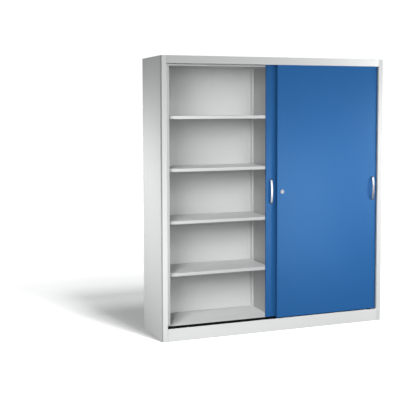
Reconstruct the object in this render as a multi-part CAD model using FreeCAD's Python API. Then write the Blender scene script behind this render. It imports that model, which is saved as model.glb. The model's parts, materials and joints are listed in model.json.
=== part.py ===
import FreeCAD, Part
import math
import os
from FreeCAD import Vector as V

# Sliding door cabinet, all-steel, free standing.
# Millimetres. +X right (seen from the front), +Y to the back, +Z up.
# Origin: centre of the footprint (handles included) on the floor.

# ---------------------------------------------------------------- dimensions
W = 1720.0            # overall width of the carcass
D = 440.0             # depth of the carcass without the handles
H = 1950.0            # overall height
T = 1.2               # carcass sheet
TD = 1.0              # door sheet
TS = 1.0              # shelf sheet
BEND = 0.9            # inner bend radius of folded sheet

DOOR_SETBACK = 17.0   # front door face behind the stile face
DOOR_T = 15.0         # folded thickness of a door
HANDLE_OUT = 27.0     # handle projection from the door face
PASS_GAP = 2.5        # air between the rear door's handle and the front door
OVERHANG = HANDLE_OUT - DOOR_SETBACK    # handle beyond the stile face

YF = -(D - OVERHANG) / 2.0              # front plane of stiles, rail, plinth
YB = YF + D                             # back plane
XO = W / 2.0                            # outer half width

STILE_W = 35.0        # front face of a stile
STILE_D = 33.0        # depth of the stile's outer flange
RETURN_D = 16.0       # depth of stile and rail returns
RAIL_Z = 1898.0       # lower edge of the top rail
PLINTH_H = 89.0       # upper edge of the plinth
FLOOR_Z = 92.0        # top of the cabinet's base
CEIL_Z = 1886.0       # underside of the inner ceiling

F_DOOR_Y = YF + DOOR_SETBACK                                # front door face
R_DOOR_Y = F_DOOR_Y + DOOR_T + PASS_GAP + HANDLE_OUT        # rear door face
F_MID = F_DOOR_Y + DOOR_T / 2.0                             # track centre lines
R_MID = R_DOOR_Y + DOOR_T / 2.0
INNER_Y = R_DOOR_Y + DOOR_T + 1.5                           # inner frame front

DOOR_X1 = 822.0       # right edge of either door in its right-hand place
F_DOOR_X0 = 6.0       # left edge of the front door, closed
R_DOOR_X0 = -61.0     # left edge of the rear door, pushed open to the right
DOOR_Z0 = 91.0
DOOR_Z1 = 1912.0

HANDLE_INSET = 36.0   # handle centre from the door edge
HANDLE_Z = 999.0
HANDLE_L = 172.0
HANDLE_W = 16.0
LOCK_X = 46.0
LOCK_Z = 1000.0

POST_X = 781.0        # inner face of the outer slotted uprights
POST_D = 34.0
PART_X = 8.0          # half thickness of the centre partition
UP_X = 20.0           # face of the uprights on the partition
BACK_Y = YB - 8.0     # inner face of the back wall
SLOT_PITCH = 16.5
SLOT_Z0 = 142.0
SLOT_N = 105
SHELF_Z = [454.0, 817.0, 1180.0, 1543.0]     # tops of the shelves
SHELF_H = 22.0
SHELF_Y0 = INNER_Y + 4.0
SHELF_Y1 = BACK_Y - 3.0

WHEEL_R = 12.0
WHEEL_GROOVE_R = 9.5
WHEEL_W = 7.0
WHEEL_Z = 84.0
WHEEL_INSET = 90.0
AXLE_R = 2.5

os.makedirs("parts", exist_ok=True)


# ------------------------------------------------------------------- helpers
def box(x0, x1, y0, y1, z0, z1):
    return Part.makeBox(x1 - x0, y1 - y0, z1 - z0, V(x0, y0, z0))


def fuse(parts):
    if len(parts) == 1:
        return parts[0]
    return parts[0].fuse(parts[1:]).removeSplitter()


def cyl(r, p0, p1):
    a, b = V(*p0), V(*p1)
    d = b.sub(a)
    return Part.makeCylinder(r, d.Length, a, d)


def mirror_x(s):
    return s.mirror(V(0, 0, 0), V(1, 0, 0))


def rounded(pts, radii):
    """Edges of an open polyline whose inner corners carry arcs."""
    edges = []
    cur = pts[0]
    for i in range(1, len(pts) - 1):
        p, a, b = pts[i], pts[i - 1], pts[i + 1]
        r = radii[i]
        u = (p - a)
        u.normalize()
        v = (b - p)
        v.normalize()
        ang = math.acos(max(-1.0, min(1.0, u.dot(v))))
        if r <= 1e-6 or ang < 1e-6:
            edges.append(Part.makeLine(cur, p))
            cur = p
            continue
        l = r * math.tan(ang / 2.0)
        s = p - u * l
        e = p + v * l
        n = v - u
        n.normalize()
        c = p + n * (r / math.cos(ang / 2.0))
        m = c - n * r
        if (s - cur).Length > 1e-6:
            edges.append(Part.makeLine(cur, s))
        edges.append(Part.Arc(s, m, e).toShape())
        cur = e
    if (pts[-1] - cur).Length > 1e-6:
        edges.append(Part.makeLine(cur, pts[-1]))
    return edges


def folded(pts2, t, side, axis, lo, hi, ri=BEND):
    """Sheet of thickness t folded along a polyline and run along an axis.
    side +1 puts the sheet to the left of the path, -1 to the right.
    axis 'z': points are (x, y); axis 'x': points are (y, z)."""
    def p3(a, b):
        return V(a, b, lo) if axis == "z" else V(lo, a, b)
    n = len(pts2)
    dirs = []
    for i in range(n - 1):
        dx = pts2[i + 1][0] - pts2[i][0]
        dy = pts2[i + 1][1] - pts2[i][1]
        l = math.hypot(dx, dy)
        dirs.append((dx / l, dy / l))
    nor = [(-side * d[1], side * d[0]) for d in dirs]
    off = []
    for i in range(n):
        if i == 0:
            k, m = 1.0, nor[0]
        elif i == n - 1:
            k, m = 1.0, nor[-1]
        else:
            m = (nor[i - 1][0] + nor[i][0], nor[i - 1][1] + nor[i][1])
            k = 1.0 / (1.0 + nor[i - 1][0] * nor[i][0] + nor[i - 1][1] * nor[i][1])
        off.append((pts2[i][0] + m[0] * t * k, pts2[i][1] + m[1] * t * k))
    rg, ro = [0.0] * n, [0.0] * n
    for i in range(1, n - 1):
        turn = dirs[i - 1][0] * dirs[i][1] - dirs[i - 1][1] * dirs[i][0]
        if turn * side > 0:
            rg[i], ro[i] = ri + t, ri
        else:
            rg[i], ro[i] = ri, ri + t
    a = [p3(*p) for p in pts2]
    b = [p3(*p) for p in off]
    edges = rounded(a, rg)
    edges.append(Part.makeLine(a[-1], b[-1]))
    edges += rounded(b[::-1], ro[::-1])
    edges.append(Part.makeLine(b[0], a[0]))
    face = Part.Face(Part.Wire(Part.__sortEdges__(edges)))
    vec = V(0, 0, hi - lo) if axis == "z" else V(hi - lo, 0, 0)
    return face.extrude(vec)


def edges_where(shape, test):
    out = []
    for e in shape.Edges:
        p = [v.Point for v in e.Vertexes]
        if len(p) == 2 and test(p[0], p[1]):
            out.append(e)
    return out


def tray_y(x0, x1, y0, y1, z0, z1, t, lip, r, open_back=True):
    """Folded tray: skin on the -Y side (or +Y side), flanges all round and
    a lip turned in along the open side."""
    s = box(x0, x1, y0, y1, z0, z1)
    ys = y0 if open_back else y1
    es = edges_where(s, lambda a, b: (abs(a.y - ys) < 1e-6 and abs(b.y - ys) < 1e-6)
                     or abs(a.y - b.y) > 1e-6)
    s = s.makeFillet(r, es)
    if open_back:
        s = s.cut(box(x0 + t, x1 - t, y0 + t, y1 - t, z0 + t, z1 - t))
        s = s.cut(box(x0 + lip, x1 - lip, y1 - 2 * t, y1 + 1, z0 + lip, z1 - lip))
    else:
        s = s.cut(box(x0 + t, x1 - t, y0 + t, y1 - t, z0 + t, z1 - t))
        s = s.cut(box(x0 + lip, x1 - lip, y0 - 1, y0 + 2 * t, z0 + lip, z1 - lip))
    return s


NODES = {}


def put(name, shape):
    """A node is one solid, or a list of like solids kept apart."""
    if isinstance(shape, (list, tuple)):
        shape = Part.makeCompound(list(shape))
    NODES[name] = shape


# ------------------------------------------------------------------- carcass
# Stiles: 35 mm front face, 16 mm return beside the doors, 33 mm outer flange
# with a welding lip, and a cap that closes the top. A fine joint separates the stile from the side panel.
stile = folded([(-XO + 15.0, YF + STILE_D), (-XO, YF + STILE_D), (-XO, YF),
                (-XO + STILE_W, YF), (-XO + STILE_W, YF + RETURN_D)],
               T, 1, "z", 0.0, H)
stile = fuse([stile, box(-XO + T * 0.5, -XO + STILE_W - T * 0.5, YF + T * 0.5, YF + STILE_D - T * 0.5,
                         H - T, H)])
put("stile_left", stile)
put("stile_right", mirror_x(stile))

SIDE_Y0 = YF + STILE_D + 0.6
side = folded([(-XO + 15.0, SIDE_Y0), (-XO, SIDE_Y0), (-XO, YB), (-XO + 20.0, YB)],
              T, -1, "z", 0.0, H)
put("side_panel_left", side)
put("side_panel_right", mirror_x(side))

XI = XO - T - 0.3     # free width inside the side panels
XS = XO - STILE_W     # free width between the stiles

# Top rail between the stiles: front face, lower return above the doors,
# upper flange under the roof line.
put("top_rail", folded([(YF + RETURN_D, RAIL_Z), (YF, RAIL_Z), (YF, H), (YF + STILE_D, H)],
                       T, -1, "x", -XS + 0.4, XS - 0.4))

# Roof sheet, its sides and rear turned down.
roof = box(-XI, XI, SIDE_Y0 + 0.2, YB, H - 16.0, H)
roof = roof.makeFillet(1.6, edges_where(
    roof, lambda a, b: abs(a.z - H) < 1e-6 and abs(b.z - H) < 1e-6))
roof = roof.cut(box(-XI + T, XI - T, SIDE_Y0 - 1.0, YB - T, H - 20.0, H - T))
# room for the side panels' welding lips
roof = roof.cut(box(-XI - 1, -XO + 15.5, SIDE_Y0 - 1, SIDE_Y0 + T + 0.4, H - 20.0, H + 1))
roof = roof.cut(box(XO - 15.5, XI + 1, SIDE_Y0 - 1, SIDE_Y0 + T + 0.4, H - 20.0, H + 1))
roof = roof.cut(box(-XI - 1, -XO + 20.5, YB - T - 0.4, YB + 1, H - 20.0, H + 1))
roof = roof.cut(box(XO - 20.5, XI + 1, YB - T - 0.4, YB + 1, H - 20.0, H + 1))
put("roof_panel", roof)

# Inner ceiling with a front strip that closes the box behind the door guide.
put("ceiling_panel", folded([(INNER_Y, H - T - 0.3), (INNER_Y, CEIL_Z), (BACK_Y - 0.3, CEIL_Z)],
                            T, 1, "x", -XI + T + 0.3, XI - T - 0.3))

# Base: inner floor, short front edge, and the ledge that carries the track.
TRACK_Z = 66.0
put("base_panel", folded([(BACK_Y - 0.3, FLOOR_Z), (INNER_Y, FLOOR_Z),
                          (INNER_Y, TRACK_Z - 0.3 - T), (YF + 1.6, TRACK_Z - 0.3 - T)],
                         T, 1, "x", -XS + 0.4, XS - 0.4)
    .fuse([box(-XI, -XS + 0.4, INNER_Y + 4.0, BACK_Y - 0.3, FLOOR_Z - T, FLOOR_Z),
           box(XS - 0.4, XI, INNER_Y + 4.0, BACK_Y - 0.3, FLOOR_Z - T, FLOOR_Z)]).removeSplitter())

# Hat beams under the base.
def hat_x(yc, w, h, ztop, x0, x1, t=1.0):
    return folded([(yc - w / 2 - 9, ztop), (yc - w / 2, ztop), (yc - w / 2, ztop - h),
                   (yc + w / 2, ztop - h), (yc + w / 2, ztop), (yc + w / 2 + 9, ztop)],
                  t, 1, "x", x0, x1)

put("base_beams", [hat_x(yc, 44.0, 22.0, FLOOR_Z - T - 1.0, -XI + 1, XI - 1)
                   for yc in (-40.0, 110.0)])

# Plinth: flush with the stiles, narrow top flange with a lip behind the track.
put("plinth_front", folded([(YF + 14.0, 0.0), (YF, 0.0), (YF, PLINTH_H),
                            (YF + 7.0, PLINTH_H), (YF + 7.0, PLINTH_H - 12.0)],
                           T, -1, "x", -XS + 0.4, XS - 0.4))
put("plinth_rear", folded([(YB - 14.0, 0.0), (YB, 0.0), (YB, 88.0), (YB - 6.5, 88.0)],
                          T, 1, "x", -XO + 21.0, XO - 21.0))

# Back wall: two flanged sheets that meet behind the partition.
def back(x0, x1):
    s = box(x0, x1, BACK_Y, YB - T - 0.3, FLOOR_Z - 3.5, H - 17.0)
    return s.cut(box(x0 + TS, x1 - TS, BACK_Y + TS, YB + 5, FLOOR_Z - 3.5 + TS, H - 17.0 - TS))

put("back_panel_left", back(-XI + 1.0, -0.3))
put("back_panel_right", back(0.3, XI - 1.0))

# Centre partition: two flanged shells, back to back.
Z_IN0, Z_IN1 = FLOOR_Z + 0.3, CEIL_Z - 0.3

def shell_left():
    s = box(-PART_X, -0.3, INNER_Y, BACK_Y - 0.3, Z_IN0, Z_IN1)
    s = s.makeFillet(1.6, edges_where(
        s, lambda a, b: abs(a.x + PART_X) < 1e-6 and abs(b.x + PART_X) < 1e-6
        and abs(a.z - b.z) > 1.0))
    return s.cut(box(-PART_X + TS, 1, INNER_Y + TS, BACK_Y - 0.3 - TS, Z_IN0 + TS, Z_IN1 - TS))

put("partition_left", shell_left())
put("partition_right", mirror_x(shell_left()))

# Slotted uprights. The slots take the shelf clips. The rear ones have a flange along the back wall.
UP_FY0, UP_FY1 = INNER_Y + 4.0, INNER_Y + POST_D
UP_RY1 = BACK_Y - T - 0.3
UP_RY0 = UP_RY1 - 37.0
EAR = 19.0            # flange of the rear uprights along the back wall
SLOT_FY = (INNER_Y + 11.0, INNER_Y + 27.0)
SLOT_RY = (UP_RY0 + 6.0, UP_RY0 + 27.0)


def slots(x0, x1, y0, y1):
    return Part.makeCompound([box(x0, x1, y0, y1, SLOT_Z0 + k * SLOT_PITCH - 3.5,
                                  SLOT_Z0 + k * SLOT_PITCH + 3.5) for k in range(SLOT_N)])


def up_outer_front():
    s = folded([(-XI + 1.0, INNER_Y), (-POST_X, INNER_Y), (-POST_X, INNER_Y + POST_D),
                (-XI + 30.0, INNER_Y + POST_D)], T, 1, "z", Z_IN0, Z_IN1)
    return s.cut(slots(-POST_X - 4, -POST_X + 4, *SLOT_FY))


def up_outer_rear():
    s = folded([(-XI + 1.0, UP_RY0), (-POST_X, UP_RY0), (-POST_X, UP_RY1),
                (-POST_X + EAR, UP_RY1)], T, 1, "z", Z_IN0, Z_IN1)
    return s.cut(slots(-POST_X - 4, -POST_X + 4, *SLOT_RY))


def up_inner(y0, y1, sl, x_end):
    s = folded([(-PART_X - 0.3, y0), (-UP_X, y0), (-UP_X, y1), (x_end, y1)],
               T, -1, "z", Z_IN0, Z_IN1)
    return s.cut(slots(-UP_X - 4, -UP_X + 4, *sl))


uof, uor = up_outer_front(), up_outer_rear()
uif = up_inner(UP_FY0, UP_FY1, SLOT_FY, -PART_X - 0.3)
uir = up_inner(UP_RY0, UP_RY1, SLOT_RY, -UP_X - EAR)
put("upright_left_outer_front", uof)
put("upright_left_outer_rear", uor)
put("upright_left_inner_front", uif)
put("upright_left_inner_rear", uir)
put("upright_right_outer_front", mirror_x(uof))
put("upright_right_outer_rear", mirror_x(uor))
put("upright_right_inner_front", mirror_x(uif))
put("upright_right_inner_rear", mirror_x(uir))

# Shelves: folded steel, 22 mm front edge with a return, lower side flanges.
SH_X0, SH_X1 = -POST_X + 3.0, -UP_X - 3.0


def shelf(zt):
    x0, x1, y0, y1, zb = SH_X0, SH_X1, SHELF_Y0, SHELF_Y1, zt - SHELF_H
    s = box(x0, x1, y0, y1, zb, zt)
    s = s.makeFillet(1.8, edges_where(
        s, lambda a, b: (abs(a.z - zt) < 1e-6 and abs(b.z - zt) < 1e-6)
        or (abs(a.z - b.z) > 1 and abs(a.y - y0) < 1e-6)
        or (abs(a.y - y0) < 1e-6 and abs(b.y - y0) < 1e-6 and abs(a.z - zb) < 1e-6)))
    s = s.cut(box(x0 + TS, x1 - TS, y0 + TS, y1 - TS, zb + TS, zt - TS))
    s = s.cut(box(x0 + TS, x1 - TS, y0 + 12.0, y1 + 1, zb - 1, zt - TS - 0.001)
              .cut(box(x0, x1, y1 - TS, y1 + 2, zb + 7.0, zt)))
    s = s.cut(box(x0 - 1, x1 + 1, y0 + 12.0, y1 + 1, zb - 1, zb + 7.0))
    s = s.cut(box(x0 - 1, x0 + 16.5, y0 + 4.0, y1 + 1, zb - 1, zb + 7.0))
    s = s.cut(box(x1 - 16.5, x1 + 1, y0 + 4.0, y1 + 1, zb - 1, zb + 7.0))
    return s


for i, zt in enumerate(SHELF_Z):
    n = 4 - i
    sh = shelf(zt)
    put("shelf_left_%d" % n, sh)
    put("shelf_right_%d" % n, mirror_x(sh))


# Shelf clips: a plate on the upright, a tongue under the shelf's side flange
# and a hook through a slot.
def clip(xf, sgn, yc, zt):
    """xf: face of the upright, sgn: +1 when the shelf lies on its +X side."""
    zf = zt - SHELF_H + 7.0             # underside of the shelf's side flange
    def bx(a, b, y0, y1, z0, z1):
        p, q = xf + sgn * a, xf + sgn * b
        return box(min(p, q), max(p, q), y0, y1, z0, z1)
    return fuse([bx(0.3, 1.8, yc - 9, yc + 9, zf - 16, zf + 9),
                 bx(0.3, 15.0, yc - 9, yc + 9, zf - 1.5, zf),
                 bx(-3.2, 0.3, yc - 6, yc + 6, zf - 1.4, zf + 1.4),
                 bx(-3.2, -1.6, yc - 6, yc + 6, zf - 7.0, zf + 1.4)])


clips = []
YCF = (SLOT_FY[0] + SLOT_FY[1]) / 2.0
YCR = (SLOT_RY[0] + SLOT_RY[1]) / 2.0
for zt in SHELF_Z:
    for yc in (YCF, YCR):
        clips.append(clip(-POST_X, 1, yc, zt))
        clips.append(clip(-UP_X, -1, yc, zt))
        clips.append(clip(UP_X, 1, yc, zt))
        clips.append(clip(POST_X, -1, yc, zt))
put("shelf_clips", clips)

# Bottom track: black trough with two ribs, one for each door, and a higher rear lip.
RAIL_TOP = WHEEL_Z - WHEEL_GROOVE_R - 0.3
tx = XS - 1.0
ty0, ty1 = YF + 8.0, INNER_Y - 0.6
track = fuse([box(-tx, tx, ty0, ty1, TRACK_Z, TRACK_Z + 2.0),
              box(-tx, tx, ty0, ty0 + 1.5, TRACK_Z, 82.0),
              box(-tx, tx, ty1 - 1.5, ty1, TRACK_Z, 87.0),
              box(-tx, tx, F_MID - 1.2, F_MID + 1.2, TRACK_Z, RAIL_TOP),
              box(-tx, tx, R_MID - 1.2, R_MID + 1.2, TRACK_Z, RAIL_TOP)])
put("bottom_track", track)

# Top guide: four webs below one plate.
gt = []
for m in (F_MID, R_MID):
    gt.append(box(-tx, tx, m - 5.5, m - 4.3, 1922.0, H - T - 0.2))
    gt.append(box(-tx, tx, m + 4.3, m + 5.5, 1922.0, H - T - 0.2))
gt.append(box(-tx, tx, F_MID - 5.5, R_MID + 5.5, H - T - 1.6, H - T - 0.2))
put("top_guide", fuse(gt))

# Rubber buffers at the ends of both door channels.
bufs = []
for m in (F_MID, R_MID):
    for sgn in (-1, 1):
        a, b = sgn * (XO - T - 0.3), sgn * (DOOR_X1 + 1.0)
        s = box(min(a, b), max(a, b), m - 5.5, m + 5.5, 978.0, 1014.0)
        xe = sgn * (DOOR_X1 + 1.0)
        s = s.makeFillet(3.0, edges_where(
            s, lambda p, q: abs(p.x - xe) < 1e-6 and abs(q.x - xe) < 1e-6))
        bufs.append(s)
put("door_buffers", bufs)

# Levelling feet and the plates they are screwed into.
feet, plates = [], []
for sx in (-1, 1):
    for fy in (-95.0, 185.0):
        fx = sx * 800.0
        f = fuse([cyl(16.0, (fx, fy, 0), (fx, fy, 5.0)), cyl(7.0, (fx, fy, 5.0), (fx, fy, 13.0)),
                  cyl(4.0, (fx, fy, 13.0), (fx, fy, 60.0))])
        feet.append(f)
        xa, xb = sx * (XO - T - 0.3), sx * 765.0
        p = fuse([box(min(xa, xb), max(xa, xb), fy - 24, fy + 24, 48.0, 51.0),
                  box(min(xa, xa - sx * 3.0), max(xa, xa - sx * 3.0), fy - 24, fy + 24, 30.0, 51.0)])
        plates.append(p.cut(cyl(4.05, (fx, fy, 40), (fx, fy, 60))))
put("levelling_feet", feet)
put("foot_plates", plates)


# --------------------------------------------------------------------- doors
def door_panel(x0, x1, y0, ym, handle_x, lock=None):
    s = tray_y(x0, x1, y0, y0 + DOOR_T, DOOR_Z0, DOOR_Z1, TD, 12.0, 1.8)
    cuts = []
    for wx in (x0 + WHEEL_INSET, x1 - WHEEL_INSET):
        cuts.append(box(wx - 18, wx + 18, ym - 6.1, ym + 6.1, DOOR_Z0 - 1, DOOR_Z0 + 3))
        cuts.append(cyl(2.6, (wx, ym, DOOR_Z1 - 4), (wx, ym, DOOR_Z1 + 2)))
    for dz in (-1, 1):
        cuts.append(cyl(2.3, (handle_x, y0 - 1, HANDLE_Z + dz * (HANDLE_L / 2 - 4.5)),
                        (handle_x, y0 + 3, HANDLE_Z + dz * (HANDLE_L / 2 - 4.5))))
    if lock:
        cuts.append(cyl(9.2, (lock[0], y0 - 1, lock[1]), (lock[0], y0 + 3, lock[1])))
    for c in cuts:
        s = s.cut(c)
    return s


def hat_z(xc, y_skin, w, h, z0, z1, t=0.8):
    """Vertical hat section glued behind the door skin."""
    return folded([(xc - w / 2 - 10, y_skin), (xc - w / 2, y_skin), (xc - w / 2, y_skin + h),
                   (xc + w / 2, y_skin + h), (xc + w / 2, y_skin), (xc + w / 2 + 10, y_skin)],
                  t, 1, "z", z0, z1, 0.6)


def handle(hx, yf):
    """Bow handle: two short feet and an arched flat bar."""
    hl = HANDLE_L / 2.0
    out = HANDLE_OUT

    def P(u, w):
        return V(hx - HANDLE_W / 2, yf - u, HANDLE_Z + w)
    rb = 300.0                            # bow radius of the bar's outer face
    ub = out - rb                         # centre of the bow

    def half(r_bow, r_c, w_leg):
        """Corner circle tangent to the leg line and the bow."""
        wc = w_leg - r_c
        uc = ub + math.sqrt((r_bow - r_c) ** 2 - wc ** 2)
        k = r_bow / (r_bow - r_c)
        tu, tw = ub + (uc - ub) * k, wc * k
        a = (math.pi / 2 + math.atan2(tw - wc, tu - uc)) / 2.0
        return uc, wc, tu, tw, (uc + r_c * math.cos(a), wc + r_c * math.sin(a))

    def contour(r_bow, r_c, w_leg):
        uc, wc, tu, tw, m = half(r_bow, r_c, w_leg)
        return [Part.makeLine(P(0, -w_leg), P(uc, -w_leg)),
                Part.Arc(P(uc, -w_leg), P(m[0], -m[1]), P(tu, -tw)).toShape(),
                Part.Arc(P(tu, -tw), P(ub + r_bow, 0), P(tu, tw)).toShape(),
                Part.Arc(P(tu, tw), P(m[0], m[1]), P(uc, w_leg)).toShape(),
                Part.makeLine(P(uc, w_leg), P(0, w_leg))]

    e = contour(rb, 9.0, hl) + contour(rb - 5.0, 6.0, hl - 9.0)
    e.append(Part.makeLine(P(0, hl), P(0, hl - 9.0)))
    e.append(Part.makeLine(P(0, -hl), P(0, -hl + 9.0)))
    s = Part.Face(Part.Wire(Part.__sortEdges__(e))).extrude(V(HANDLE_W, 0, 0))
    long_edges = []
    for ed in s.Edges:
        c = ed.BoundBox
        if c.XLength < 1e-6 and not (c.YMax > yf - 1e-6 and c.YLength < 1e-6):
            long_edges.append(ed)
    s = s.makeFillet(1.6, long_edges)
    for dz in (-1, 1):
        z = HANDLE_Z + dz * (hl - 4.5)
        s = s.cut(cyl(2.05, (hx, yf + 1, z), (hx, yf - 12.5, z)))
    return s


def pan_screw(x, y_head, z, r, length, head_r, head_h):
    """Screw along -Y: head on the inside of the door, shank to the front."""
    s = fuse([cyl(head_r, (x, y_head, z), (x, y_head + head_h, z)),
              cyl(r, (x, y_head, z), (x, y_head - length, z))])
    s = s.cut(box(x - head_r * 0.6, x + head_r * 0.6, y_head + head_h - 1.0, y_head + head_h + 1,
                  z - 0.45, z + 0.45))
    return s.cut(box(x - 0.45, x + 0.45, y_head + head_h - 1.0, y_head + head_h + 1,
                     z - head_r * 0.6, z + head_r * 0.6))


def guides(x0, x1, ym):
    out = []
    for wx in (x0 + WHEEL_INSET, x1 - WHEEL_INSET):
        b = box(wx - 20, wx + 20, ym - 3.5, ym + 3.5, DOOR_Z1, DOOR_Z1 + 28.0)
        b = b.makeFillet(3.0, edges_where(b, lambda p, q: abs(p.z - q.z) > 1.0))
        out.append(fuse([b, cyl(2.5, (wx, ym, DOOR_Z1 - 5.0), (wx, ym, DOOR_Z1 + 1.0))]))
    return out


def brackets(x0, x1, ym):
    out = []
    for wx in (x0 + WHEEL_INSET, x1 - WHEEL_INSET):
        b = fuse([box(wx - 16, wx + 16, ym - 5.7, ym - 4.2, 78.0, 112.0),
                  box(wx - 16, wx + 16, ym + 4.2, ym + 5.7, 78.0, 112.0),
                  box(wx - 16, wx + 16, ym - 5.7, ym + 5.7, 110.5, 112.0),
                  box(wx - 30, wx - 14.5, ym - 5.7, ym - 4.2, DOOR_Z0 + TD, 104.0),
                  box(wx + 14.5, wx + 30, ym - 5.7, ym - 4.2, DOOR_Z0 + TD, 104.0),
                  box(wx - 30, wx - 19.0, ym - 5.7, ym + 5.7, DOOR_Z0 + TD, DOOR_Z0 + TD + 1.5),
                  box(wx + 19.0, wx + 30, ym - 5.7, ym + 5.7, DOOR_Z0 + TD, DOOR_Z0 + TD + 1.5)])
        out.append(b.cut(cyl(AXLE_R, (wx, ym - 8, WHEEL_Z), (wx, ym + 8, WHEEL_Z))))
    return out


def axles(x0, x1, ym):
    return [fuse([cyl(AXLE_R, (wx, ym - 6.2, WHEEL_Z), (wx, ym + 6.2, WHEEL_Z)),
                  cyl(3.6, (wx, ym - 6.4, WHEEL_Z), (wx, ym - 5.7, WHEEL_Z)),
                  cyl(3.6, (wx, ym + 5.7, WHEEL_Z), (wx, ym + 6.4, WHEEL_Z))])
            for wx in (x0 + WHEEL_INSET, x1 - WHEEL_INSET)]


def wheel(wx, ym):
    w = cyl(WHEEL_R, (wx, ym - WHEEL_W / 2, WHEEL_Z), (wx, ym + WHEEL_W / 2, WHEEL_Z))
    w = w.makeFillet(0.8, [e for e in w.Edges if len(e.Vertexes) == 1])
    g = cyl(WHEEL_R + 2, (wx, ym - 2.0, WHEEL_Z), (wx, ym + 2.0, WHEEL_Z)).cut(
        cyl(WHEEL_GROOVE_R, (wx, ym - 3.0, WHEEL_Z), (wx, ym + 3.0, WHEEL_Z)))
    w = w.cut(g)
    return w.cut(cyl(AXLE_R + 0.05, (wx, ym - 8, WHEEL_Z), (wx, ym + 8, WHEEL_Z)))


def door(prefix, x0, x1, yf, ym, hx, lock=None):
    put(prefix + "_door_panel", door_panel(x0, x1, yf, ym, hx, lock))
    wd = x1 - x0
    put(prefix + "_door_stiffeners", [hat_z(x0 + k * wd / 3.0, yf + TD + 0.05, 60.0, 11.5,
                                            DOOR_Z0 + 25.0, DOOR_Z1 - 20.0) for k in (1, 2)])
    put(prefix + "_door_handle", handle(hx, yf))
    put(prefix + "_handle_screws", [pan_screw(hx, yf + TD, HANDLE_Z + dz * (HANDLE_L / 2 - 4.5),
                                              2.0, 12.0, 3.9, 2.4) for dz in (-1, 1)])
    put(prefix + "_door_guides", guides(x0, x1, ym))
    put(prefix + "_roller_brackets", brackets(x0, x1, ym))
    put(prefix + "_roller_axles", axles(x0, x1, ym))
    put(prefix + "_wheel_left", wheel(x0 + WHEEL_INSET, ym))
    put(prefix + "_wheel_right", wheel(x1 - WHEEL_INSET, ym))


door("front", F_DOOR_X0, DOOR_X1, F_DOOR_Y, F_MID, DOOR_X1 - HANDLE_INSET, (LOCK_X, LOCK_Z))
door("rear", R_DOOR_X0, DOOR_X1, R_DOOR_Y, R_MID, R_DOOR_X0 + HANDLE_INSET)

# Lock: rosette and barrel, nut, turning plug with a key slot, cam and its
# screw. Everything behind the skin stays inside the door's thickness.
ly = F_DOOR_Y
la = (LOCK_X, LOCK_Z)


def lcyl(r, u0, u1):
    return cyl(r, (la[0], ly - u0, la[1]), (la[0], ly - u1, la[1]))


rose = lcyl(15.0, 0.0, 3.5)
rose = rose.makeFillet(1.6, [e for e in rose.Edges if len(e.Vertexes) == 1
                             and abs(e.BoundBox.YMin - (ly - 3.5)) < 1e-4])
housing = fuse([rose, lcyl(9.0, 0.0, -9.5)])
housing = housing.cut(lcyl(7.05, 6.0, -12.0))
put("lock_housing", housing)

hexr = 13.0 / math.cos(math.pi / 6)
hp = [V(la[0] + hexr * math.cos(math.pi / 3 * k), ly + TD + 0.0, la[1] + hexr * math.sin(math.pi / 3 * k))
      for k in range(7)]
nut = Part.Face(Part.makePolygon(hp)).extrude(V(0, 3.0, 0)).cut(lcyl(9.0, 1.0, -12.0))
put("lock_nut", nut)

plug = lcyl(7.0, 3.2, -9.5)
plug = fuse([plug, box(la[0] - 3.0, la[0] + 3.0, ly + 9.4, ly + 11.4, la[1] - 3.0, la[1] + 3.0)])
plug = plug.cut(box(la[0] - 4.8, la[0] + 4.8, ly - 6.0, ly + 5.5, la[1] - 1.3, la[1] + 1.3))
plug = plug.cut(cyl(1.55, (la[0], ly + 6.2, la[1]), (la[0], ly + 13.0, la[1])))
put("lock_plug", plug)

cam = fuse([cyl(7.5, (la[0], ly + 9.8, la[1]), (la[0], ly + 11.3, la[1])),
            box(la[0] - 6.0, la[0] + 6.0, ly + 9.8, ly + 11.3, la[1] - 24.0, la[1])])
cam = cam.cut(box(la[0] - 3.05, la[0] + 3.05, ly + 9.0, ly + 12.0, la[1] - 3.05, la[1] + 3.05))
put("lock_cam", cam)
put("lock_cam_screw", pan_screw(la[0], ly + 11.4, la[1], 1.5, 4.6, 4.2, 1.6))


# -------------------------------------------------------------------- export
for name, shp in NODES.items():
    for s in shp.Solids:
        if not s.isValid():
            print("invalid solid in", name)
    shp.exportStep("parts/%s.step" % name)
print(len(NODES), "nodes,", sum(len(s.Solids) for s in NODES.values()), "solids")
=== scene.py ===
import json
import math
import bpy
import bmesh
from mathutils import Matrix, Vector

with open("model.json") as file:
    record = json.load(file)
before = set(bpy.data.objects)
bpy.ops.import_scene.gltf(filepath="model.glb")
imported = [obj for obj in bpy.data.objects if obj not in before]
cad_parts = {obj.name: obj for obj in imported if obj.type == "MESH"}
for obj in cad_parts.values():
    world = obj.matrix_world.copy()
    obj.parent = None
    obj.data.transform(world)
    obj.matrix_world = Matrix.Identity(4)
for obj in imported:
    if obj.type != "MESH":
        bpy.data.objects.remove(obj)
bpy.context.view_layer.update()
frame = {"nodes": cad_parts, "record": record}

NODES = frame["nodes"]
SC = bpy.context.scene

# ------------------------------------------------------------------- camera
# Image plane 400 x 400. Location in metres, angles in degrees.
CAM_LOC = (-2.6362, -5.6112, 1.5840)
CAM_YAW, CAM_PITCH, CAM_ROLL = 20.784, 3.933, -0.178
CAM_F_PX = 846.14
CAM_SHIFT = 0.080


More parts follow.
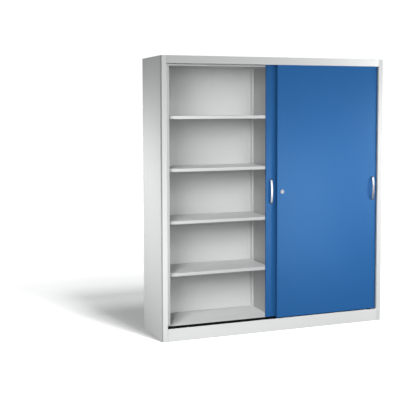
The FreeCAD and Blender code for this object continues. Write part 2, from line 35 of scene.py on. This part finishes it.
def make_camera():
    cam = bpy.data.cameras.new("camera")
    ob = bpy.data.objects.new("camera", cam)
    SC.collection.objects.link(ob)
    yaw, pitch, roll = (math.radians(a) for a in (CAM_YAW, CAM_PITCH, CAM_ROLL))
    d = Vector((math.sin(yaw) * math.cos(pitch), math.cos(yaw) * math.cos(pitch), -math.sin(pitch)))
    r = Vector((math.cos(yaw), -math.sin(yaw), 0.0))
    u = r.cross(d)
    c, s = math.cos(roll), math.sin(roll)
    r, u = c * r + s * u, c * u - s * r
    m = Matrix((r, u, -d)).transposed().to_4x4()
    m.translation = Vector(CAM_LOC)
    ob.matrix_world = m
    cam.sensor_width = 36.0
    cam.sensor_fit = "AUTO"
    cam.lens = CAM_F_PX / 400.0 * 36.0
    cam.shift_y = -CAM_SHIFT
    cam.clip_start, cam.clip_end = 0.05, 200.0
    SC.camera = ob
    return ob


make_camera()

# ---------------------------------------------------------------- materials


class Tree:
    """A small helper around one material's node tree."""

    def __init__(self, name):
        self.mat = bpy.data.materials.new(name)
        self.mat.use_nodes = True
        self.t = self.mat.node_tree
        self.t.nodes.clear()
        self.out = self.node("ShaderNodeOutputMaterial")
        self.bsdf = self.node("ShaderNodeBsdfPrincipled")
        self.link(self.bsdf, "BSDF", self.out, "Surface")
        self.coord = self.node("ShaderNodeTexCoord")

    def node(self, kind, **values):
        n = self.t.nodes.new(kind)
        for k, v in values.items():
            if hasattr(n, k):
                setattr(n, k, v)
            else:
                n.inputs[k.replace("_", " ")].default_value = v
        return n

    def link(self, a, sa, b, sb):
        self.t.links.new(a.outputs[sa], b.inputs[sb])

    def mapped(self, scale=(1, 1, 1), location=(0, 0, 0)):
        m = self.node("ShaderNodeMapping")
        m.inputs["Scale"].default_value = scale
        m.inputs["Location"].default_value = location
        self.link(self.coord, "Object", m, "Vector")
        return m

    def noise(self, scale, detail=2.0, rough=0.5, vector=None):
        n = self.node("ShaderNodeTexNoise")
        n.inputs["Scale"].default_value = scale
        n.inputs["Detail"].default_value = detail
        n.inputs["Roughness"].default_value = rough
        if vector is None:
            self.link(self.coord, "Object", n, "Vector")
        else:
            self.link(vector, "Vector", n, "Vector")
        return n

    def ramp(self, src, socket, stops):
        n = self.node("ShaderNodeValToRGB")
        e = n.color_ramp.elements
        while len(e) < len(stops):
            e.new(0.5)
        for i, (p, c) in enumerate(stops):
            e[i].position = p
            e[i].color = c if len(c) == 4 else (*c, 1.0)
        self.link(src, socket, n, "Fac")
        return n

    def rng(self, src, socket, a0, a1, b0, b1):
        n = self.node("ShaderNodeMapRange")
        for k, v in (("From Min", a0), ("From Max", a1), ("To Min", b0), ("To Max", b1)):
            n.inputs[k].default_value = v
        self.link(src, socket, n, "Value")
        return n

    def mix(self, fac, fsock, a, b, blend="MIX"):
        """a and b: (node, socket) or a colour."""
        n = self.node("ShaderNodeMix", data_type="RGBA", blend_type=blend)
        if isinstance(fac, float):
            n.inputs[0].default_value = fac
        else:
            self.t.links.new(fac.outputs[fsock], n.inputs[0])
        for i, v in ((6, a), (7, b)):
            if isinstance(v[0], bpy.types.Node):
                self.t.links.new(v[0].outputs[v[1]], n.inputs[i])
            else:
                n.inputs[i].default_value = (*v, 1.0)
        return n

    def bump(self, height, socket, strength, distance, chain=None):
        n = self.node("ShaderNodeBump")
        n.inputs["Strength"].default_value = strength
        n.inputs["Distance"].default_value = distance
        self.link(height, socket, n, "Height")
        if chain is not None:
            self.link(chain, "Normal", n, "Normal")
        return n


def shade(c, k):
    return tuple(min(1.0, max(0.0, x * k)) for x in c)


def powder_coat(name, colour, rough, peel=0.16, spec=0.5, gloss=(1, 1, 1)):
    """Baked powder coat: slight clouding, fine orange peel, thin tiny flecks,
    and a paler line over each edge, partly where the film thins and partly a painted highlight."""
    t = Tree(name)
    cloud = t.noise(1.7, 3.0, 0.55)
    fleck = t.noise(1500.0, 2.0, 0.6)
    base = t.ramp(cloud, "Fac", [(0.30, shade(colour, 0.975)), (0.70, shade(colour, 1.02))])
    dots = t.ramp(fleck, "Fac", [(0.30, (0.93, 0.93, 0.93)), (0.62, (1.0, 1.0, 1.0))])
    col = t.mix(1.0, None, (base, "Color"), (dots, "Color"), "MULTIPLY")
    # Convex edges are painted paler: partly the film thinning there, partly a painted edge highlight.
    edge = t.node("ShaderNodeAmbientOcclusion", samples=4, inside=True)
    edge.inputs["Distance"].default_value = 0.0016
    edge_highlight_and_thin_film = t.rng(edge, "AO", 0.35, 0.95, 0.10, 0.0)
    lit = t.mix(edge_highlight_and_thin_film, "Result", (col, "Result"), shade(colour, 1.35))
    t.link(lit, "Result", t.bsdf, "Base Color")
    grain = t.noise(260.0, 2.0, 0.5)
    r = t.rng(grain, "Fac", 0.3, 0.7, rough - 0.035, rough + 0.035)
    t.link(r, "Result", t.bsdf, "Roughness")
    peel_n = t.noise(620.0, 2.0, 0.45)
    wave = t.noise(46.0, 1.0, 0.4)
    b0 = t.bump(wave, "Fac", 0.12, 0.0006)
    b1 = t.bump(peel_n, "Fac", peel, 0.00035, b0)
    t.link(b1, "Normal", t.bsdf, "Normal")
    t.bsdf.inputs["Specular IOR Level"].default_value = spec
    t.bsdf.inputs["Specular Tint"].default_value = (*gloss, 1.0)
    return t.mat


def plated(name, colour, rough):
    """Zinc plate: grey metal with soft crystalline clouds and fine streaks."""
    t = Tree(name)
    vor = t.node("ShaderNodeTexVoronoi")
    vor.inputs["Scale"].default_value = 240.0
    t.link(t.coord, "Object", vor, "Vector")
    cloud = t.noise(70.0, 3.0, 0.6)
    base = t.ramp(cloud, "Fac", [(0.3, shade(colour, 0.86)), (0.7, shade(colour, 1.08))])
    cells = t.ramp(vor, "Distance", [(0.0, (0.94, 0.95, 0.97)), (0.6, (1.0, 1.0, 1.0))])
    col = t.mix(1.0, None, (base, "Color"), (cells, "Color"), "MULTIPLY")
    t.link(col, "Result", t.bsdf, "Base Color")
    t.bsdf.inputs["Metallic"].default_value = 1.0
    r = t.rng(cloud, "Fac", 0.3, 0.7, rough - 0.06, rough + 0.07)
    t.link(r, "Result", t.bsdf, "Roughness")
    b = t.bump(t.noise(900.0, 2.0), "Fac", 0.12, 0.0002)
    t.link(b, "Normal", t.bsdf, "Normal")
    return t.mat


def satin_aluminium(name, colour, rough):
    """Cast and ground aluminium: hairlines along the bar, a soft bloom."""
    t = Tree(name)
    lines = t.noise(1.0, 3.0, 0.6, t.mapped((2600.0, 900.0, 26.0)))
    cloud = t.noise(60.0, 2.0, 0.5)
    base = t.ramp(lines, "Fac", [(0.25, shade(colour, 0.94)), (0.75, shade(colour, 1.03))])
    tint = t.ramp(cloud, "Fac", [(0.3, (0.97, 0.975, 0.985)), (0.7, (1.0, 1.0, 1.0))])
    col = t.mix(1.0, None, (base, "Color"), (tint, "Color"), "MULTIPLY")
    t.link(col, "Result", t.bsdf, "Base Color")
    t.bsdf.inputs["Metallic"].default_value = 1.0
    r = t.rng(lines, "Fac", 0.25, 0.75, rough - 0.05, rough + 0.06)
    t.link(r, "Result", t.bsdf, "Roughness")
    b = t.bump(lines, "Fac", 0.10, 0.00015)
    t.link(b, "Normal", t.bsdf, "Normal")
    return t.mat


def turned_nickel(name, colour, rough, centre):
    """Nickel plated turning: fine rings round the lock's axis."""
    t = Tree(name)
    m = t.mapped((1, 1, 1), (-centre[0], 0.0, -centre[1]))
    ring = t.node("ShaderNodeTexWave", wave_type="RINGS", rings_direction="Y", wave_profile="SIN")
    ring.inputs["Scale"].default_value = 620.0
    ring.inputs["Distortion"].default_value = 0.6
    ring.inputs["Detail"].default_value = 1.0
    t.link(m, "Vector", ring, "Vector")
    cloud = t.noise(110.0, 2.0, 0.5)
    base = t.ramp(cloud, "Fac", [(0.3, shade(colour, 0.95)), (0.7, shade(colour, 1.03))])
    t.link(base, "Color", t.bsdf, "Base Color")
    t.bsdf.inputs["Metallic"].default_value = 1.0
    r = t.rng(ring, "Fac", 0.0, 1.0, rough - 0.04, rough + 0.05)
    t.link(r, "Result", t.bsdf, "Roughness")
    b = t.bump(ring, "Fac", 0.06, 0.00008)
    t.link(b, "Normal", t.bsdf, "Normal")
    return t.mat


def moulded(name, colour, rough, grain=700.0, bump=0.12, spread=0.03):
    """Moulded or extruded polymer, lightly textured."""
    t = Tree(name)
    cloud = t.noise(9.0, 2.0, 0.5)
    fine = t.noise(grain, 2.0, 0.5)
    base = t.ramp(cloud, "Fac", [(0.3, shade(colour, 1.0 - spread)), (0.7, shade(colour, 1.0 + spread))])
    dots = t.ramp(fine, "Fac", [(0.3, (0.94, 0.94, 0.94)), (0.65, (1.0, 1.0, 1.0))])
    col = t.mix(1.0, None, (base, "Color"), (dots, "Color"), "MULTIPLY")
    t.link(col, "Result", t.bsdf, "Base Color")
    r = t.rng(fine, "Fac", 0.3, 0.7, rough - 0.05, rough + 0.05)
    t.link(r, "Result", t.bsdf, "Roughness")
    b = t.bump(fine, "Fac", bump, 0.0003)
    t.link(b, "Normal", t.bsdf, "Normal")
    return t.mat


def drawn_black(name, colour, rough):
    """Black coated profile with faint lines along its length."""
    t = Tree(name)
    lines = t.noise(1.0, 3.0, 0.6, t.mapped((7.0, 1500.0, 1500.0)))
    cloud = t.noise(14.0, 2.0, 0.5)
    base = t.ramp(lines, "Fac", [(0.3, shade(colour, 0.8)), (0.75, shade(colour, 1.5))])
    t.link(base, "Color", t.bsdf, "Base Color")
    r = t.rng(cloud, "Fac", 0.3, 0.7, rough - 0.05, rough + 0.06)
    t.link(r, "Result", t.bsdf, "Roughness")
    b = t.bump(lines, "Fac", 0.10, 0.0002)
    t.link(b, "Normal", t.bsdf, "Normal")
    t.bsdf.inputs["Specular IOR Level"].default_value = 0.12
    return t.mat


GREY = (0.622, 0.627, 0.624)
BLUE = (0.0200, 0.106, 0.298)
LOCK = (0.046, 1.000)

LOOKS = {
    "carcass_paint": powder_coat("grey_powder_coat", GREY, 0.50, 0.16, 0.42),
    "door_paint": powder_coat("blue_powder_coat", BLUE, 0.33, 0.16, 0.40, (0.36, 0.66, 1.0)),
    "track_black": drawn_black("black_profile", (0.0045, 0.0045, 0.005), 0.62),
    "zinc_steel": plated("zinc_plate", (0.66, 0.68, 0.70), 0.36),
    "handle_aluminium": satin_aluminium("satin_aluminium", (0.60, 0.61, 0.625), 0.42),
    "lock_nickel": turned_nickel("satin_nickel", (0.52, 0.56, 0.60), 0.36, LOCK),
    "nylon": moulded("white_nylon", (0.70, 0.69, 0.65), 0.48),
    "rubber": moulded("black_rubber", (0.020, 0.020, 0.021), 0.72, 500.0, 0.25),
}
SLOT_OF = {s["node"]: s["material_slot"] for s in frame["record"]["subparts"]}
for name, ob in NODES.items():
    ob.data.materials.clear()
    ob.data.materials.append(LOOKS[SLOT_OF[name]])

# -------------------------------------------------------------------- stage
# The floor and the backdrop are plain white studio surfaces. Only the camera sees them, so the light
# on the cabinet comes from the lamps and the soft world light alone.


def camera_only(ob):
    ob.visible_diffuse = ob.visible_glossy = ob.visible_transmission = False
    ob.visible_volume_scatter = ob.visible_shadow = False


def white(name, near, far, r0, r1, tone):
    """White that gives off a little light of its own, more so away from the object."""
    t = Tree(name)
    shade_n = t.ramp(t.noise(0.9, 2.0), "Fac", [(0.3, (tone, tone, tone)), (0.7, (tone + 0.012,) * 3)])
    t.link(shade_n, "Color", t.bsdf, "Base Color")
    t.bsdf.inputs["Roughness"].default_value = 0.9
    t.bsdf.inputs["Specular IOR Level"].default_value = 0.0
    t.bsdf.inputs["Emission Color"].default_value = (1.0, 1.0, 1.0, 1.0)
    dist = t.node("ShaderNodeVectorMath", operation="LENGTH")
    t.link(t.coord, "Object", dist, 0)
    glow = t.rng(dist, "Value", r0, r1, near, far)
    glow.interpolation_type = "SMOOTHSTEP"
    t.link(glow, "Result", t.bsdf, "Emission Strength")
    return t.mat


floor_mesh = bpy.data.meshes.new("floor")
S = 60.0
floor_mesh.from_pydata([(-S, -S, -0.0005), (S, -S, -0.0005), (S, S, -0.0005), (-S, S, -0.0005)], [], [(0, 1, 2, 3)])
floor = bpy.data.objects.new("floor", floor_mesh)
SC.collection.objects.link(floor)
camera_only(floor)
floor.visible_shadow = True
floor_mesh.materials.append(white("floor_white", 0.28, 1.05, 2.6, 6.0, 0.30))

drop_mesh = bpy.data.meshes.new("backdrop")
bm = bmesh.new()
bmesh.ops.create_uvsphere(bm, u_segments=48, v_segments=24, radius=90.0)
bmesh.ops.reverse_faces(bm, faces=bm.faces)
bm.to_mesh(drop_mesh)
bm.free()
backdrop = bpy.data.objects.new("backdrop", drop_mesh)
SC.collection.objects.link(backdrop)
camera_only(backdrop)
drop_mesh.materials.append(white("backdrop_white", 1.05, 1.05, 1.0, 2.0, 0.02))

world = bpy.data.worlds.new("studio")
SC.world = world
world.use_nodes = True
wt = world.node_tree
bg = wt.nodes["Background"]
bg.inputs["Color"].default_value = (0.92, 0.97, 1.0, 1.0)
w_coord = wt.nodes.new("ShaderNodeTexCoord")
w_axes = wt.nodes.new("ShaderNodeSeparateXYZ")
w_range = wt.nodes.new("ShaderNodeMapRange")
w_range.interpolation_type = "SMOOTHSTEP"
for key, val in (("From Min", -0.12), ("From Max", 0.04), ("To Min", 0.05), ("To Max", 0.22)):
    w_range.inputs[key].default_value = val
wt.links.new(w_coord.outputs["Generated"], w_axes.inputs[0])
wt.links.new(w_axes.outputs["Z"], w_range.inputs["Value"])
wt.links.new(w_range.outputs["Result"], bg.inputs["Strength"])

# Four lamps throw the soft shadow on the floor. The others light the cabinet, each one part of it,
# the way single soft boxes are set with flags in a product studio.
def linked(name, obs, state="INCLUDE"):
    col = bpy.data.collections.new(name)
    for ob in obs:
        col.objects.link(ob)
    for item in col.collection_objects:
        item.light_linking.link_state = state
    return col


METAL = ["front_door_handle", "rear_door_handle", "front_handle_screws", "rear_handle_screws"]
LOCK_FACE = ["lock_housing", "lock_plug"]
ROLLERS = [n for n in NODES if "wheel" in n or "roller" in n]
DOOR_PARTS = [n for n in NODES if n.startswith(("front_", "rear_", "lock_")) and n not in METAL + LOCK_FACE + ROLLERS]
SIDES = ["side_panel_left", "side_panel_right"]
POSTS = ["stile_left", "stile_right", "upright_left_outer_front"]
BANDS = ["top_rail", "roof_panel", "plinth_front", "plinth_rear", "levelling_feet", "foot_plates"]
SHELVES = [n for n in NODES if n.startswith(("shelf_left_", "shelf_right_"))]
OTHERS = METAL + LOCK_FACE + ROLLERS + DOOR_PARTS + SIDES + POSTS + BANDS + SHELVES + ["base_panel", "partition_left", "ceiling_panel"]
only_floor = linked("only_floor", [floor])
not_floor = linked("not_floor", [floor], "EXCLUDE")
RECEIVE = {"floor": only_floor, "all": not_floor}
for group, names in (("doors", DOOR_PARTS), ("metal", METAL), ("lock", LOCK_FACE),
                     ("rear", ["rear_door_panel"]), ("sides", SIDES), ("posts", POSTS), ("bands", BANDS),
                     ("shelves", SHELVES), ("base", ["base_panel"]), ("middle", ["partition_left"]), ("ceiling", ["ceiling_panel"]),
                     ("inside", [n for n in NODES if n not in OTHERS])):
    RECEIVE[group] = linked(group, [NODES[n] for n in names])


def soft(name, loc, aim, size, power, spread, group, colour=(1, 1, 1)):
    l = bpy.data.lights.new(name, "AREA")
    l.shape = "RECTANGLE"
    l.size, l.size_y = size
    l.energy = power
    l.spread = math.radians(spread)
    l.color = colour
    o = bpy.data.objects.new(name, l)
    SC.collection.objects.link(o)
    o.location = loc
    o.rotation_euler = (Vector(aim) - Vector(loc)).to_track_quat("-Z", "Y").to_euler()
    o.visible_camera = False
    o.light_linking.receiver_collection = RECEIVE[group]
    if name.startswith("over_"):
        o.light_linking.blocker_collection = only_floor
    return o


LAMPS = [
    ("ceiling_f_m20_15", (-1.92, -5.26, 2.40), (0.00, 0.00, 0.90), 1.60, 427.85, 180, "ceiling"),
    ("sides_f_m20_15", (-1.92, -5.26, 2.40), (0.00, 0.00, 0.90), 1.60, 48.30, 180, "sides"),
    ("sides_r_m60_4", (-2.08, -1.40, 0.35), (0.00, -0.20, 0.35), 0.70, 26.04, 180, "sides"),
    ("sides_s_35_14", (-1.75, 0.35, 1.40), (-0.86, 0.26, 1.40), 0.45, 1.24, 110, "sides"),
    ("sides_s_35_5", (-1.75, 0.35, 0.50), (-0.86, 0.26, 0.50), 0.45, 1.53, 110, "sides"),
    ("sides_s_5_11", (-1.75, 0.05, 1.10), (-0.86, 0.08, 1.10), 0.45, 1.70, 110, "sides"),
    ("posts_r_30_14", (1.20, -2.28, 1.35), (0.00, -0.20, 1.35), 0.70, 0.30, 180, "posts"),
    ("posts_r_30_4", (1.20, -2.28, 0.35), (0.00, -0.20, 0.35), 0.70, 16.74, 180, "posts"),
    ("posts_r_60_14", (2.08, -1.40, 1.35), (0.00, -0.20, 1.35), 0.70, 31.73, 180, "posts"),
    ("posts_r_m30_8", (-1.20, -2.28, 0.85), (0.00, -0.20, 0.85), 0.70, 30.12, 180, "posts"),
    ("posts_r_m60_4", (-2.08, -1.40, 0.35), (0.00, -0.20, 0.35), 0.70, 20.17, 180, "posts"),
    ("bands_r_0_4", (0.00, -2.60, 0.35), (0.00, -0.20, 0.35), 0.70, 11.86, 180, "bands"),
    ("bands_r_60_19", (2.08, -1.40, 1.90), (0.00, -0.20, 1.50), 0.70, 39.68, 180, "bands"),
    ("bands_r_60_4", (2.08, -1.40, 0.35), (0.00, -0.20, 0.35), 0.70, 15.58, 180, "bands"),
    ("bands_r_m30_4", (-1.20, -2.28, 0.35), (0.00, -0.20, 0.35), 0.70, 39.98, 180, "bands"),
    ("inside_f_0_32", (0.00, -4.92, 3.97), (0.00, 0.00, 0.90), 1.60, 78.55, 180, "inside"),
    ("inside_f_m20_15", (-1.92, -5.26, 2.40), (0.00, 0.00, 0.90), 1.60, 43.56, 180, "inside"),
    ("inside_f_m40_15", (-3.60, -4.29, 2.40), (0.00, 0.00, 0.90), 1.60, 52.61, 180, "inside"),
    ("inside_f_m55_15", (-4.59, -3.21, 2.40), (0.00, 0.00, 0.90), 1.60, 89.90, 180, "inside"),
    ("inside_g_m40_12", (-3.46, -4.12, 2.04), (-0.10, 0.00, 0.35), 1.30, 3.40, 44, "inside"),
    ("inside_r_0_14", (0.00, -2.60, 1.35), (0.00, -0.20, 1.35), 0.70, 2.84, 180, "inside"),
    ("inside_r_m30_4", (-1.20, -2.28, 0.35), (0.00, -0.20, 0.35), 0.70, 8.97, 180, "inside"),
    ("inside_top", (-0.60, -3.20, 1.45), (-0.30, 0.20, 1.72), 0.25, 0.05, 10, "inside"),
    ("middle_f_m20_32", (-1.68, -4.62, 3.97), (0.00, 0.00, 0.90), 1.60, 88.04, 180, "middle"),
    ("middle_r_m60_4", (-2.08, -1.40, 0.35), (0.00, -0.20, 0.35), 0.70, 0.76, 180, "middle"),
    ("over_shelves_a", (-0.40, -0.25, 3.20), (-0.40, -0.05, 0.00), 1.00, 5.69, 180, "shelves"),
    ("over_shelves_b", (-0.40, 0.05, 3.20), (-0.40, 0.05, 0.00), 0.60, 3.91, 180, "shelves"),
    ("shelves_f_m40_15", (-3.60, -4.29, 2.40), (0.00, 0.00, 0.90), 1.60, 378.21, 180, "shelves"),
    ("base_f_m40_32", (-3.16, -3.77, 3.97), (0.00, 0.00, 0.90), 1.60, 394.37, 180, "base"),
    ("doors_f_m20_15", (-1.92, -5.26, 2.40), (0.00, 0.00, 0.90), 1.60, 99.34, 180, "doors"),
    ("doors_h_0_105", (0.35, -4.36, 1.63), (0.35, -0.20, 1.05), 0.90, 2.15, 34, "doors"),
    ("doors_r_30_4", (1.20, -2.28, 0.35), (0.00, -0.20, 0.35), 0.70, 6.05, 180, "doors"),
    ("doors_r_30_8", (1.20, -2.28, 0.85), (0.00, -0.20, 0.85), 0.70, 8.47, 180, "doors"),
    ("doors_r_60_14", (2.08, -1.40, 1.35), (0.00, -0.20, 1.35), 0.70, 12.30, 180, "doors"),
    ("doors_r_60_8", (2.08, -1.40, 0.85), (0.00, -0.20, 0.85), 0.70, 10.50, 180, "doors"),
    ("doors_r_m30_4", (-1.20, -2.28, 0.35), (0.00, -0.20, 0.35), 0.70, 20.72, 180, "doors"),
    ("rear_r_m30_4", (-1.20, -2.28, 0.35), (0.00, -0.20, 0.35), 0.70, 10.00, 180, "rear"),
    ("lock_f_40_15", (3.60, -4.29, 2.40), (0.00, 0.00, 0.90), 1.60, 48.80, 180, "lock"),
    ("lock_f_40_32", (3.16, -3.77, 3.97), (0.00, 0.00, 0.90), 1.60, 46.96, 180, "lock"),
    ("lock_r_0_8", (0.00, -2.60, 0.85), (0.00, -0.20, 0.85), 0.70, 46.66, 180, "lock"),
    ("metal_f_40_15", (3.60, -4.29, 2.40), (0.00, 0.00, 0.90), 1.60, 48.80, 180, "metal"),
    ("metal_f_40_32", (3.16, -3.77, 3.97), (0.00, 0.00, 0.90), 1.60, 46.96, 180, "metal"),
    ("metal_r_30_4", (1.20, -2.28, 0.35), (0.00, -0.20, 0.35), 0.70, 5.20, 180, "metal"),
    ("metal_r_0_8", (0.00, -2.60, 0.85), (0.00, -0.20, 0.85), 0.70, 46.66, 180, "metal"),
]
for name, loc, aim, size, power, spread, group in LAMPS:
    soft(name, loc, aim, (size, size), power, spread, group)
# Fill for the sides that the photograph's view doesn't show. These lamps stand behind the front plane.
for name, loc, aim, size, power in (
    ("fill_right", (3.30, 1.10, 1.60), (0.86, 0.00, 0.95), 1.4, 54.0),
    ("fill_back", (0.50, 3.70, 1.90), (0.05, 0.22, 0.95), 1.6, 92.0),
    ("fill_roof", (0.30, 1.00, 4.30), (0.00, 0.00, 1.95), 1.2, 36.0),
):
    soft(name, loc, aim, (size, size), power, 180.0, "all")
for name, loc, power in (
    ("shadow_key", (0.028, -3.124, 6.662), 1013.0),
    ("shadow_low", (0.839, -3.928, 5.962), 718.0),
    ("shadow_top", (0.040, -1.733, 7.257), 531.0),
    ("shadow_left", (-0.386, -4.189, 5.962), 220.0),
):
    soft(name, loc, (-0.7, 0.3, 0.6), (1.0, 1.0), power, 180.0, "floor")

SC.view_settings.view_transform = "Standard"
SC.view_settings.look = "None"
SC.view_settings.exposure = 0.0
SC.view_settings.gamma = 1.0
SC.cycles.use_denoising = True
SC.cycles.max_bounces = 12
SC.cycles.diffuse_bounces = 6
